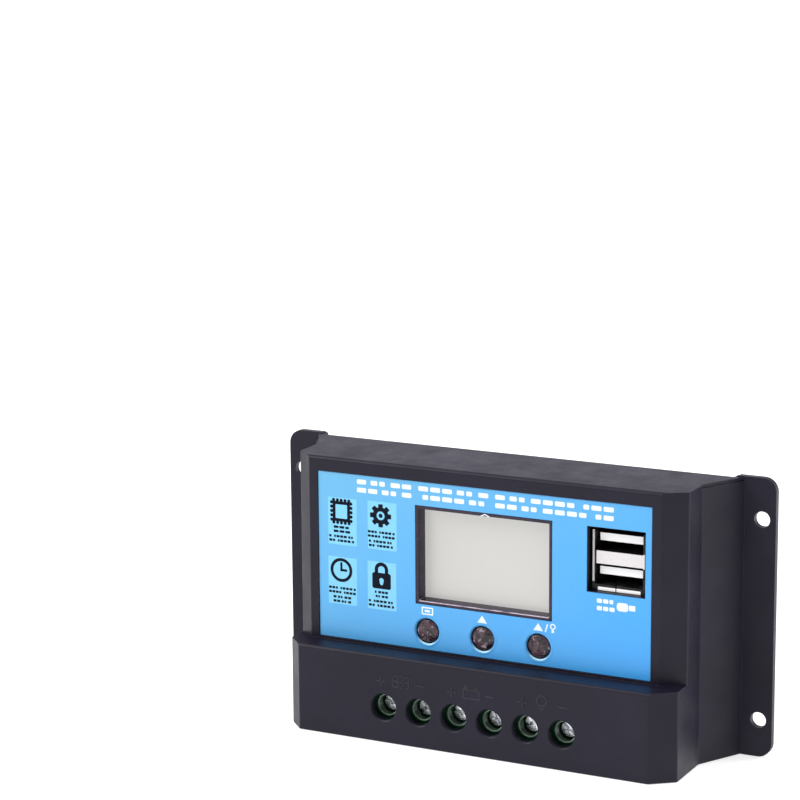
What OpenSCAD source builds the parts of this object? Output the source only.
// Wall-mounted solar charge controller: a moulded case with two mounting ears, closed by a
// steel back plate. Inside are a circuit board with a six-way screw terminal block, a display,
// three push buttons and a two-port charging socket.
// X runs to the right, Z up, and Y from the front face towards the wall.
// The origin is the centre of the four ear holes, on the ears' back face.
// Depths are distances in front of the wall, so a depth d lies at y = -d.

/* [Case] */
// Width over both mounting ears
ear_span = 133.5; // [130:0.5:138]
// Thickness of the ears
ear_t = 1.8; // [1.4:0.1:2.2]
// Distance between the left and right ear holes
hole_span = 126.5; // [124:0.5:128]
// Distance between the lower and upper ear holes
hole_rise = 50.4; // [46:0.2:54]
// Diameter of an ear hole
ear_hole_d = 4; // [3.6:0.1:5]
// Height of the case's bottom face, from the origin
case_bottom = -34.5; // [-36:0.25:-34]
// Height of the case's top face, from the origin
case_top = 35.2; // [34.8:0.05:35.25]
// Height of the ears' top edges, from the origin
ear_top = 35.5; // [35.3:0.1:37]
// Thickness of the case walls
wall = 2; // [1.8:0.1:2.2]
// Depth of the upper front face
upper_front = 25.3; // [25.1:0.1:25.8]
// Depth of the terminal cover's front face
lower_front = 32.15; // [32:0.05:32.6]
// Height of the ledge on top of the terminal cover
ledge_z = -12.05; // [-12.4:0.05:-11.8]

/* [Front panel] */
// Half width of the printed overlay
label_half = 44.9; // [44:0.1:45.6]
// Height of the overlay's lower edge
label_bottom = -11.3; // [-11.6:0.1:-10.8]
// Height of the overlay's upper edge
label_top = 31.4; // [30.5:0.1:32.5]
// Width and height of the overlay's display cut-out
display_cut = [37, 25.2]; // [20:0.1:40]
// Height of the display's centre
display_z = 12.8; // [12:0.1:13.5]
// Distance between neighbouring buttons
button_pitch = 15.1; // [14:0.1:16]
// Height of the button row
button_z = -6.6; // [-6.8:0.1:-6.4]
// Diameter of a button cap
button_d = 5.9; // [5.6:0.1:6.2]
// Travel of a button
button_travel = 0.35; // [0.2:0.05:0.5]
// Width and height of the socket opening
socket_cut = [14.8, 16]; // [14:0.1:17]
// Socket centre, across and up
socket_at = [35.1, 17]; // [10:0.1:40]

/* [Terminals] */
// Distance between neighbouring terminals
terminal_pitch = 9.65; // [9.4:0.05:9.8]
// Height of the row of terminal screws
terminal_z = -25.5; // [-26:0.1:-25]
// Diameter of the screwdriver holes
driver_hole_d = 6.8; // [6.4:0.1:7]
// Width of a wire entry
entry_w = 6.6; // [6:0.1:7]
// Pitch of the terminal screw thread
thread_pitch = 0.5; // [0.4:0.05:0.5]
// Turns from fully open to fully tight
screw_turns = 5; // [3:1:5]

/* [Back plate] */
// Thickness of the steel plate
plate_t = 1; // [0.8:0.1:1]
// Depth of the plate's outer face
plate_depth = 2.4; // [2.2:0.1:2.6]
// Half width of the plate
plate_half = 56; // [55.5:0.1:56.1]
// Plate screws, half spacing across
plate_screw_x = 52.8; // [52.4:0.1:53]
// Plate screws, lower and upper heights
plate_screw_z = [-24.6, 25]; // [-28:0.1:28]

/* [Hidden] */
$fn = 48;
ARC_STEPS = 5;
EPS = 0.01;

// Case section: the sides are upright, then flare out to the ears.
// The front faces lie a little to the left of the centre line
face_half = 47.3;
lower_face_half = 47.35;
front_shift = -0.7;
side_half = 52.4;
upper_bend = 22;
lower_bend = 27.75;
flare_depth = 13.7;
ear_root = 58.75;
ear_gap_half = 56.3;
corner_r = 3.5;
edge_r = 0.8;
top_edge_r = 0.9;
rim = 1.2;
top_rim = 1.6;
overlay_recess = 0.5;
overlay_t = 0.25;
bezel_margin = 0.9;
shoulder_step = [0.6, 0.9];
ejector_at = [62.1, 16.7];
ejector_r = 1.9;

// Screws that cut their own thread in plain pilot holes
screw_length = 7;
pilot_fit = 0.02;
plate_shank_r = 1.25;
plate_pilot_r = plate_shank_r + pilot_fit;
plate_boss_r = 3.2;
plate_boss_depth = 11.4;
notch_r = 4;

// Stickers on the back plate: the large one was put on a little askew
rating_at = [-16.7, 3.8];
rating_size = [59.4, 30];
rating_turn = -5;
stickers_at = [[30.3, 19.3], [24.5, -20]];
sticker_r = 4.5;

// Board stack, as depths in front of the wall
board_front = 10;
board_t = 1.6;
board_back = board_front - board_t;
board_half = 48.5;
board_bottom = -31.8;
board_top = 32;
post_at = [45, 28];
post_r = 3;
pilot_r = 1.1;
plate_back = plate_depth + plate_t;

// Display stack
display_depth = 21.4;
glass_t = 2;
glass_size = [42, 30];
backlight_t = 3.2;
carrier_depth = display_depth - glass_t - backlight_t;
pin_count = 16;
pin_pitch = 2.4;
pin_w = 0.45;
pin_tail = 0.2;

// Terminal block: the cage slides between the shoulder behind the screw head and the bar
entry_depth = 19.3;
entry_flat = 16.2;
block_front = 28.7;
block_top = -16.2;
block_bottom = -32.4;
collar_r = 2.85;
collar_front = 29.4;
head_bore_r = 2.5;
head_r = 2.1;
head_top = 26.9;
head_under = 25.85;
shoulder_front = 25.8;
cell_front = 25.2;
driver_mouth = 0.35;
cell_back = 15.1;
cell_half = 3.8;
cell_top = -20.5;
funnel_top = -30.8;
funnel_mouth = [23, 15.6];
funnel_neck = [21.6, 16.2];
shank_r = 1.5;
shank_tip = 21.65;
cage_half = 3.5;
cage_side_t = 0.7;
cage_front = 22.5;
cage_front_t = 0.8;
cage_back = 15.4;
cage_back_t = 1;
cage_h = 6;
bar_half = 2.5;
bar_front = 21.4;
bar_t = 0.8;
bar_bottom = -31;
bar_top = -18.5;
bar_fit = 0.05;
leg_end = 7.6;
cage_travel = thread_pitch * screw_turns;
slot_angles = [20, -38, 12, 62, -15, 40];

// Buttons and their switches
button_hole_r = 3.4;
cap_edge = 24.4;
dome_h = 0.6;
flange_r = 4;
flange_front = 23;
flange_t = 0.8;
stem_r = 1.75;
plunger_front = 19.5;
switch_size = 6;
switch_front = 13.5;
cover_t = 0.3;
plunger_foot_r = 2.2;
plunger_foot_t = 0.6;
plunger_foot_back = 12.3;

// Two-port socket
shell_size = [13.8, 15.8];
shell_front = 23.2;
shell_lip_back = 3;
shell_slit = [-0.9, -0.6];
port_rise = 0.3;
port_size = [12.4, 5.1];
port_pitch = 8.3;
tongue_size = [11.1, 1.9];
tongue_front = 21.5;
tongue_offset = 0.9;
contact_pitch = 2.3;

// Power parts
mosfet_x = [-24, -8, 8, 24];
mosfet_z = 6;
lead_z = -11.75;
lead_h = 0.7;
lead_depth = 2.6;
pad_t = 0.3;
tab_size = [10, 1.3, 15.4];
body_size = [10, 3, 9];
lead_pitch = 2.54;
capacitor_at = [[-34, 21], [-34, 8]];
choke_at = [38, -4];
shunt_at = [-36, -6];
diodes_at = [[-27, 0.5], [-36, -12], [27.5, 4.2]];
chip_at = [0, 6];
chip_w = 10;
leads_per_side = 11;
lead_w = 0.35;
resistor_pitch = [4.4, 3];
resistor_z = 14.5;

function terminal_x(i) = (i - 3.5) * terminal_pitch;
function button_x(i) = (i - 2) * button_pitch - 0.25;
function unit(v) = v / norm(v);
function flare_x(d) = ear_root - (d - ear_t) / (flare_depth - ear_t) * (ear_root - side_half);

// Points of the arc of radius r that rounds corner b between a and c
function corner_arc(a, b, c, r) =
    let (
        u = unit(a - b),
        w = unit(c - b),
        half = acos(u * w) / 2,
        centre = b + unit(u + w) * r / sin(half),
        from = b + u * r / tan(half) - centre,
        to = b + w * r / tan(half) - centre,
        start = atan2(from.y, from.x),
        turn = atan2(from.x * to.y - from.y * to.x, from * to)
    )
    [for (i = [0:ARC_STEPS]) centre + r * [cos(start + turn * i / ARC_STEPS),
                                           sin(start + turn * i / ARC_STEPS)]];

function rounded(pts, radii) =
    let (n = len(pts))
    [for (i = [0:n - 1]) each radii[i] > 0
        ? corner_arc(pts[(i + n - 1) % n], pts[i], pts[(i + 1) % n], radii[i])
        : [pts[i]]];

function joined(right, left) =
    concat(right, [for (i = [len(left) - 1:-1:0]) [-left[i].x, left[i].y]]);
function both(values) = concat(values, [for (i = [len(values) - 1:-1:0]) values[i]]);

// Half of the case's outer section: front face, bevel, side, flare
function outer_half(front, face, bend) = [
    [face, -front], [side_half, -bend], [side_half, -flare_depth], [ear_root, -ear_t], [ear_root, 0]
];

function outer_section(front, face, bend) = joined(
    outer_half(front, face + front_shift, bend), outer_half(front, face - front_shift, bend));

// Half of the hollow, one wall thickness inside
function inner_half(front, face, bend) =
    let (
        slope = (ear_root - side_half) / (flare_depth - ear_t),
        wall_x = wall * sqrt(1 + slope * slope),
        bend_in = flare_depth - (wall_x - wall) / slope
    )
    [
        [face - wall / 3, wall - front], [side_half - wall, wall / 2 - bend],
        [side_half - wall, -bend_in], [flare_x(plate_back) - wall_x, -plate_back]
    ];

function inner_section(front, face, bend) = joined(
    inner_half(front, face + front_shift, bend), inner_half(front, face - front_shift, bend));

// A box given by its lowest and highest corners
module span(low, high) {
    translate(low) cube(high - low);
}

// A cylinder along Y between two depths, the deeper one first
module rod(at, r, from, to) {
    translate([at.x, -from, at.y]) rotate([-90, 0, 0]) cylinder(r = r, h = from - to);
}

// A flat outline drawn in X and Z, given thickness along Y between two depths
module slab(from, to) {
    translate([0, -to, 0]) rotate([90, 0, 0]) linear_extrude(from - to) children();
}

// What lies outside a rounded edge along X, whose sharp corner is at depth d and height z
module round_edge(d, z, r) {
    arc = [for (i = [0:ARC_STEPS])
        [-d + r - r * cos(90 * i / ARC_STEPS), z - r + r * sin(90 * i / ARC_STEPS)]];
    rotate([90, 0, 90]) translate([0, 0, -ear_span / 2]) linear_extrude(ear_span)
        polygon(concat([[-d - 1, z + 1], [-d - 1, z - r]], arc, [[r - d, z + 1]]));
}

module posts_at() {
    for (x = [-post_at.x, post_at.x], z = [-post_at.y, post_at.y]) {
        translate([x, 0, z]) children();
    }
}

module plate_screws_at() {
    for (x = [-plate_screw_x, plate_screw_x], z = plate_screw_z) {
        translate([x, 0, z]) children();
    }
}

module case_body() {
    section_radii = both([edge_r, edge_r, 2, 1.2, 0]);
    translate([0, 0, case_bottom]) {
        linear_extrude(case_top - case_bottom)
            polygon(rounded(outer_section(upper_front, face_half, upper_bend), section_radii));
        linear_extrude(ledge_z - case_bottom)
            polygon(rounded(outer_section(lower_front, lower_face_half, lower_bend), section_radii));
    }
}

module ears() {
    x = ear_span / 2;
    z = [case_bottom, ear_top];
    slab(ear_t, 0) for (s = [0, 1]) {
        mirror([s, 0]) {
            translate([ear_root - EPS, z[0]]) square([x - corner_r - ear_root + EPS, z[1] - z[0]]);
            translate([ear_root, z[0] + corner_r]) square([x - ear_root, z[1] - z[0] - 2 * corner_r]);
            for (h = [z[0] + corner_r, z[1] - corner_r]) {
                translate([x - corner_r, h]) circle(r = corner_r);
            }
        }
    }
    for (s = [0, 1]) {
        mirror([s, 0, 0]) slab(ear_t, 0) polygon([
            [ear_gap_half, case_bottom], [ear_root, case_bottom], [ear_root, ear_top],
            [ear_gap_half + 0.8, ear_top], [ear_gap_half, ear_top - 0.6]
        ]);
    }
}

module case_hollow() {
    translate([0, 0, case_bottom + wall]) {
        linear_extrude(case_top - case_bottom - 2 * wall)
            polygon(inner_section(upper_front, face_half, upper_bend));
        linear_extrude(ledge_z - case_bottom - 2 * wall)
            polygon(inner_section(lower_front, lower_face_half, lower_bend));
    }
    span([-ear_gap_half, -plate_back, case_bottom + rim], [ear_gap_half, 1, case_top - top_rim]);
    span([-ear_gap_half, -plate_depth, case_bottom - 1], [ear_gap_half, 1, ear_top + 1]);
}

// Wire entry: round towards the front, flat towards the wall
module entry_outline(w) {
    translate([0, -entry_depth]) circle(d = w);
    translate([-w / 2, -entry_depth]) square([w, entry_depth - entry_flat - (entry_w - w) / 2]);
}

module wire_entries() {
    for (i = [1:6]) {
        translate([terminal_x(i), 0, case_bottom - 1]) linear_extrude(wall + 2) entry_outline(entry_w);
    }
    // Blind grooves where two more entries could be opened
    for (x = [terminal_x(0), terminal_x(7)]) {
        translate([x, 0, case_bottom - 1]) linear_extrude(1.4) difference() {
            entry_outline(entry_w);
            entry_outline(entry_w - 1);
        }
    }
}

module front_openings() {
    slab(upper_front + 1, upper_front - overlay_recess)
        translate([front_shift - label_half - 0.1, label_bottom - 0.1])
        square([2 * label_half + 0.2, label_top - label_bottom + 0.2]);
    slab(upper_front + 1, display_depth - 1) translate([0, display_z])
        square(display_cut - 2 * [bezel_margin, bezel_margin], center = true);
    slab(upper_front + 1, upper_front - wall - 1) translate(socket_at)
        square(socket_cut, center = true);
    for (i = [1:3]) {
        rod([button_x(i), button_z], button_hole_r, upper_front + 1, upper_front - wall - 1);
    }
    for (i = [1:6]) {
        rod([terminal_x(i), terminal_z], driver_hole_d / 2, lower_front + 1, lower_front - wall - 1);
        translate([terminal_x(i), -lower_front - EPS, terminal_z]) rotate([-90, 0, 0])
            cylinder(r1 = driver_hole_d / 2 + driver_mouth, r2 = driver_hole_d / 2, h = driver_mouth);
    }
}

// Thin strips taken off the flares' top edges, which leave a step below the top face
module shoulder_steps() {
    for (s = [0, 1]) {
        mirror([s, 0, 0]) translate([0, 0, case_top - shoulder_step.y]) linear_extrude(2) polygon([
            [side_half - shoulder_step.x, -flare_depth], [side_half + 3, -flare_depth],
            [ear_root + 2, -ear_t], [ear_root - shoulder_step.x, -ear_t]
        ]);
    }
}

module front_case() {
    color([0.19, 0.18, 0.23]) difference() {
        union() {
            difference() {
                case_body();
                case_hollow();
                round_edge(upper_front, case_top, top_edge_r);
                round_edge(lower_front, ledge_z, edge_r);
                shoulder_steps();
            }
            ears();
            intersection() {
                case_body();
                union() {
                    plate_screws_at() rod([0, 0], plate_boss_r, plate_boss_depth, plate_back);
                    posts_at() rod([0, 0], post_r, lower_front, board_front);
                    // Well that frames the display glass
                    slab(upper_front - wall + EPS, display_depth + 0.05) translate([0, display_z])
                        square(display_cut + [1.4, 1.4], center = true);
                }
            }
        }
        wire_entries();
        front_openings();
        for (x = [-hole_span / 2, hole_span / 2], z = [-hole_rise / 2, hole_rise / 2]) {
            rod([x, z], ear_hole_d / 2, ear_t + 1, -1);
        }
        plate_screws_at() rod([0, 0], plate_pilot_r, plate_depth + screw_length + 0.8, 0);
        plate_screws_at() rod([0, 0], notch_r, plate_depth, -1);
        posts_at() rod([0, 0], pilot_r + pilot_fit, board_back + screw_length + 0.8, 0);
        rod(ejector_at, ejector_r, 0.12, -1);
    }
}

module back_plate() {
    color([0.16, 0.16, 0.18]) difference() {
        span([-plate_half, -plate_back, case_bottom + rim + 0.1],
             [plate_half, -plate_depth, case_top - top_rim - 0.1]);
        plate_screws_at() rod([0, 0], 1.6, plate_back + 1, 0);
    }
}

// Cross recess for a driver, cut into a head whose face is at depth d
module cross_recess(d, size, deep) {
    for (a = [0, 90]) {
        translate([0, -d, 0]) rotate([0, a, 0])
            translate([-size / 2, -1, -size / 8]) cube([size, deep + 1, size / 4]);
    }
}

// Pan head screw along Y: the head stands from the seat towards the wall
module pan_screw(seat, head_r, head_h, shank_r, length) {
    difference() {
        translate([0, -seat, 0]) rotate([-90, 0, 0]) rotate_extrude() polygon([
            [0, -length], [shank_r * 0.6, -length], [shank_r, shank_r - length], [shank_r, 0],
            [head_r, 0], [head_r, head_h * 0.45], [head_r * 0.82, head_h * 0.82],
            [head_r * 0.5, head_h], [0, head_h]
        ]);
        for (a = [45, -45]) {
            translate([0, head_h - seat, 0]) rotate([0, a, 0])
                translate([-head_r * 0.62, -head_h * 0.6, -head_r * 0.13])
                cube([head_r * 1.24, head_h, head_r * 0.26]);
        }
    }
}

module plate_screws() {
    color("silver") plate_screws_at() pan_screw(plate_depth, 2.9, 1.7, plate_shank_r, screw_length);
}

module front_overlay() {
    seat = upper_front - overlay_recess;
    color([0.37, 0.7, 0.95]) slab(seat + overlay_t, seat) difference() {
        translate([front_shift - label_half, label_bottom])
            square([2 * label_half, label_top - label_bottom]);
        translate([0, display_z]) square(display_cut, center = true);
        translate(socket_at) square(socket_cut + [0.3, 0.3], center = true);
        for (i = [1:3]) {
            translate([button_x(i), button_z]) circle(r = button_hole_r + 0.1);
        }
    }
}

module rating_label() {
    color([0.75, 0.88, 0.95]) slab(plate_depth, plate_depth - 0.15)
        translate(rating_at) rotate(rating_turn) square(rating_size, center = true);
}

module round_stickers() {
    for (at = stickers_at) {
        color("white") rod(at, sticker_r, plate_depth, plate_depth - 0.12);
    }
}

module display_glass() {
    step = 1.6;
    color([0.8, 0.84, 0.82]) {
        slab(display_depth, display_depth - glass_t / 2) translate([0, display_z + step / 2])
            square(glass_size - [0, step], center = true);
        slab(display_depth - glass_t / 2, display_depth - glass_t) translate([0, display_z])
            square(glass_size, center = true);
    }
}

// Rear polariser, between the glass and the backlight
module display_film() {
    color([0.85, 0.85, 0.8]) slab(display_depth - glass_t, display_depth - glass_t - 0.2)
        translate([0, display_z]) square(glass_size - [3, 3], center = true);
}

module display_backlight() {
    front = display_depth - glass_t - 0.2;
    color("white") slab(front, carrier_depth) translate([0, display_z])
        square(glass_size - [3, 3], center = true);
}

// Tray on four legs that holds the display stack above the board
module display_carrier() {
    color([0.12, 0.12, 0.13]) difference() {
        union() {
            slab(display_depth - glass_t, carrier_depth - 0.8) translate([0, display_z])
                square(glass_size, center = true);
            for (x = [-1, 1], z = [-1, 1]) {
                rod([x * (glass_size.x / 2 - 2), display_z + z * (glass_size.y / 2 - 2)], 1.6,
                    carrier_depth - 0.8, board_front);
            }
        }
        slab(display_depth, carrier_depth) translate([0, display_z])
            square(glass_size - [3, 3], center = true);
        slab(display_depth, board_front) translate([0, display_z])
            square(glass_size - [10, 10], center = true);
    }
}

function pin_at(i) = [(i - (pin_count + 1) / 2) * pin_pitch, display_z - glass_size.y / 2 - 0.3];

module display_pins() {
    for (i = [1:pin_count]) {
        at = pin_at(i);
        color("silver") span([at.x - pin_w / 2, -display_depth, at.y - pin_w / 2],
                             [at.x + pin_w / 2, pin_tail - board_back, at.y + pin_w / 2]);
    }
}

module main_board() {
    color([0.05, 0.35, 0.2]) difference() {
        span([-board_half, -board_front, board_bottom], [board_half, -board_back, board_top]);
        posts_at() rod([0, 0], 1.6, board_front + 1, 0);
        for (i = [1:pin_count]) {
            rod(pin_at(i), 0.4, board_front + 1, 0);
        }
        for (i = [1:6]) {
            span([terminal_x(i) - bar_half - 0.1, -board_front - 1, bar_top - bar_t - 0.1],
                 [terminal_x(i) + bar_half + 0.1, 0, bar_top + 0.1]);
        }
        for (x = mosfet_x, k = [-1:1]) {
            rod([x + k * lead_pitch, mosfet_z + lead_z], 0.55, board_front + 1, 0);
        }
        for (s = [-1, 1]) {
            rod(shunt_at + [s * 5, 0], 0.85, board_front + 1, 0);
        }
    }
}

module board_screws() {
    color("silver") posts_at() pan_screw(board_back, 2.4, 1.5, pilot_r, screw_length);
}

// Contact bar of one terminal: the wire is clamped on the bar, and the leg reaches the board
module contact_bar(fit) {
    span([-bar_half - fit, -bar_front - fit, bar_bottom - fit],
         [bar_half + fit, bar_t - bar_front + fit, bar_top + fit]);
    span([-bar_half - fit, -bar_front - fit, bar_top - bar_t - fit],
         [bar_half + fit, -leg_end, bar_top + fit]);
}

module contact_bars() {
    for (i = [1:6]) {
        color([0.85, 0.7, 0.4]) translate([terminal_x(i), 0, 0]) contact_bar(0);
    }
}

module terminal_block() {
    half = 3 * terminal_pitch;
    color([0.13, 0.5, 0.33]) difference() {
        union() {
            span([-half, -block_front, block_bottom], [half, -board_front, block_top]);
            for (i = [1:6]) {
                rod([terminal_x(i), terminal_z], collar_r, collar_front, block_front - 1);
            }
        }
        for (i = [1:6]) {
            translate([terminal_x(i), 0, 0]) {
                span([-cell_half, -cell_front, funnel_top], [cell_half, -cell_back, cell_top]);
                // Funnel that leads the wire into the cage
                translate([-entry_w / 2, 0, 0]) rotate([90, 0, 90]) linear_extrude(entry_w) polygon([
                    [-funnel_mouth[0], block_bottom - EPS], [-funnel_mouth[1], block_bottom - EPS],
                    [-funnel_neck[1], funnel_top + EPS], [-funnel_neck[0], funnel_top + EPS]
                ]);
                rod([0, terminal_z], head_bore_r, collar_front + 1, shoulder_front);
                rod([0, terminal_z], shank_r + 0.06, collar_front, cell_back);
                contact_bar(bar_fit);
            }
        }
    }
}

module terminal_screw(i) {
    color("silver") translate([terminal_x(i), 0, terminal_z]) difference() {
        union() {
            rod([0, 0], head_r, head_top, head_under);
            rod([0, 0], shank_r, head_under + 0.2, shank_tip);
        }
        rotate([0, slot_angles[i - 1], 0]) {
            cross_recess(head_top, 3, 0.7);
            span([-head_r - 1, -head_top - 1, -0.4], [head_r + 1, 0.6 - head_top, 0.4]);
        }
    }
}

module clamp_cage(i) {
    color([0.8, 0.8, 0.78]) translate([terminal_x(i), 0, terminal_z]) difference() {
        span([-cage_half, -cage_front, -cage_h / 2], [cage_half, -cage_back, cage_h / 2]);
        span([cage_side_t - cage_half, cage_front_t - cage_front, -cage_h],
             [cage_half - cage_side_t, -cage_back - cage_back_t, cage_h]);
        rod([0, 0], shank_r + 0.05, cage_front + 1, cage_front - cage_front_t - 1);
    }
}

module button(i) {
    profile = [for (a = [0:15:90]) [button_d / 2 * sin(a), dome_h * cos(a)]];
    color([0.3, 0.16, 0.2]) translate([button_x(i), 0, button_z]) {
        translate([0, -cap_edge, 0]) rotate([90, 0, 0]) rotate_extrude()
            polygon(concat([[0, -1.4]], profile, [[button_d / 2, -1.4]]));
        rod([0, 0], flange_r, flange_front, flange_front - flange_t);
        rod([0, 0], stem_r, flange_front, plunger_front);
    }
}

module plunger(i) {
    color([0.1, 0.1, 0.1]) translate([button_x(i), 0, button_z]) {
        rod([0, 0], stem_r, plunger_front, plunger_foot_back);
        rod([0, 0], plunger_foot_r, plunger_foot_back + plunger_foot_t, plunger_foot_back);
    }
}

module switch_bases() {
    half = switch_size / 2;
    for (i = [1:3]) {
        color([0.15, 0.15, 0.16]) translate([button_x(i), 0, button_z]) difference() {
            span([-half, cover_t - switch_front, -half], [half, -board_front, half]);
            rod([0, 0], plunger_foot_r + 0.3, switch_front, plunger_foot_back - button_travel - 0.3);
        }
    }
}

module switch_covers() {
    half = switch_size / 2;
    for (i = [1:3]) {
        color("silver") translate([button_x(i), 0, button_z]) difference() {
            span([-half, -switch_front, -half], [half, cover_t - switch_front, half]);
            rod([0, 0], stem_r + 0.1, switch_front + 1, switch_front - 1);
        }
    }
}

module socket_shell() {
    color([0.75, 0.75, 0.76]) translate([socket_at.x, 0, socket_at.y]) difference() {
        slab(shell_front, board_front) square(shell_size, center = true);
        for (s = [-1, 1]) {
            slab(shell_front + 1, board_front + 1.2) translate([0, s * port_pitch / 2 + port_rise])
                square(port_size, center = true);
        }
        // The upper lip stands back, and a slit divides the lower one
        span([-shell_size.x, -shell_front - 1, (port_pitch + port_size.y) / 2 + port_rise],
             [shell_size.x, shell_lip_back - shell_front, shell_size.y]);
        span([shell_slit[0], -shell_front - 1, -shell_size.y],
             [shell_slit[1], 1 - shell_front, port_rise + EPS - (port_pitch + port_size.y) / 2]);
    }
}

module socket_tongues() {
    color("white") for (s = [-1, 1]) {
        translate([socket_at.x, 0, socket_at.y + s * port_pitch / 2 + tongue_offset])
            slab(tongue_front, board_front + 1.2) square(tongue_size, center = true);
    }
}

module socket_contacts() {
    for (s = [-1, 1], k = [-1.5:1.5]) {
        x = socket_at.x + k * contact_pitch;
        z = socket_at.y + s * port_pitch / 2 + tongue_offset - tongue_size.y / 2;
        color("gold") span([x - 0.5, 0.4 - tongue_front, z - 0.15], [x + 0.5, -board_front - 1.2, z]);
    }
}

module mosfet_bodies() {
    for (x = mosfet_x) {
        color([0.1, 0.1, 0.1]) translate([x, -plate_back - pad_t - tab_size.y, mosfet_z])
            span([-body_size.x / 2, -body_size.y, -body_size.z], [body_size.x / 2, 0, 0]);
    }
}

// Metal tab behind each package, with its three legs bent into the board
module mosfet_tabs() {
    for (x = mosfet_x) {
        color("silver") translate([x, -plate_back - pad_t, mosfet_z]) {
            difference() {
                span([-tab_size.x / 2, -tab_size.y, 0.05], [tab_size.x / 2, 0, tab_size.z - body_size.z]);
                rod([0, 3.4], 1.8, tab_size.y + 1, -1);
            }
            span([-tab_size.x / 2, -tab_size.y, -body_size.z], [tab_size.x / 2, 0, 0.05]);
            for (k = [-1:1]) {
                translate([k * lead_pitch, 0, lead_z]) {
                    span([-lead_h / 2, -lead_depth - 0.5, -lead_h / 2],
                         [lead_h / 2, -lead_depth, -lead_z - body_size.z - EPS]);
                    span([-lead_h / 2, plate_back + pad_t - board_front - 0.8, -lead_h / 2],
                         [lead_h / 2, -lead_depth, lead_h / 2]);
                }
            }
        }
    }
}

module thermal_pad() {
    color([0.55, 0.6, 0.65]) span([-30, -plate_back - pad_t, mosfet_z - body_size.z - 0.5],
                                 [30, -plate_back, mosfet_z + tab_size.z - body_size.z + 0.5]);
}

module capacitors() {
    r = 5;
    h = 12;
    for (at = capacitor_at) {
        color([0.1, 0.12, 0.2]) translate([at.x, -board_front, at.y]) rotate([90, 0, 0]) rotate_extrude()
            polygon([[0, 0], [r - 0.4, 0], [r, 0.6], [r, 1.6], [r - 0.4, 2], [r, 2.4],
                     [r, h - 0.6], [r - 0.5, h], [r - 1, h], [r - 1.1, h - 0.3], [0, h - 0.3]]);
    }
}

module choke() {
    r = 4.4;
    h = 6;
    waist = 3.9;
    color([0.25, 0.25, 0.27]) translate([choke_at.x, -board_front, choke_at.y]) rotate([90, 0, 0])
        rotate_extrude() polygon([[0, 0], [r, 0], [r, 1], [waist, 1.2], [waist, h - 1.2], [r, h - 1],
                                  [r, h], [0, h]]);
}

// Bent shunt wire that the load current passes through
module shunt_wire() {
    r = 0.75;
    color([0.75, 0.6, 0.45]) translate([shunt_at.x, 0, shunt_at.y]) {
        for (s = [-1, 1]) {
            rod([s * 5, 0], r, board_front + 2, board_back - 0.8);
        }
        translate([0, -board_front - 2, 0]) rotate([180, 0, 0]) rotate_extrude(angle = 180)
            translate([5, 0]) circle(r = r);
    }
}

module controller_chip() {
    color([0.1, 0.1, 0.11]) translate([chip_at.x, 0, chip_at.y])
        span([-chip_w / 2, -board_front - 1.4, -chip_w / 2], [chip_w / 2, -board_front - 0.15, chip_w / 2]);
}

module chip_leads() {
    for (a = [0:90:270], k = [0:leads_per_side - 1]) {
        offset_x = (k - (leads_per_side - 1) / 2) * 0.8;
        color("silver") translate([chip_at.x, -board_front, chip_at.y]) rotate([0, a, 0])
            span([offset_x - lead_w / 2, -0.8, chip_w / 2], [offset_x + lead_w / 2, 0, chip_w / 2 + 1]);
    }
}

module diodes() {
    for (at = diodes_at) {
        color([0.12, 0.12, 0.12]) translate([at.x, 0, at.y])
            span([-2.2, -board_front - 2.2, -1.3], [2.2, -board_front, 1.3]);
    }
}

module chip_resistors() {
    for (i = [-2.5:2.5], j = [0:1]) {
        color([0.2, 0.2, 0.22]) translate([i * resistor_pitch.x, 0, resistor_z + j * resistor_pitch.y])
            span([-1, -board_front - 0.55, -0.6], [1, -board_front, 0.6]);
    }
}

front_case();
back_plate();
plate_screws();
front_overlay();
rating_label();
round_stickers();
display_glass();
display_film();
display_backlight();
display_carrier();
display_pins();
main_board();
board_screws();
terminal_block();
contact_bars();
for (i = [1:6]) {
    terminal_screw(i);
    clamp_cage(i);
}
for (i = [1:3]) {
    button(i);
    plunger(i);
}
switch_bases();
switch_covers();
socket_shell();
socket_tongues();
socket_contacts();
mosfet_bodies();
mosfet_tabs();
thermal_pad();
capacitors();
choke();
shunt_wire();
controller_chip();
chip_leads();
diodes();
chip_resistors();
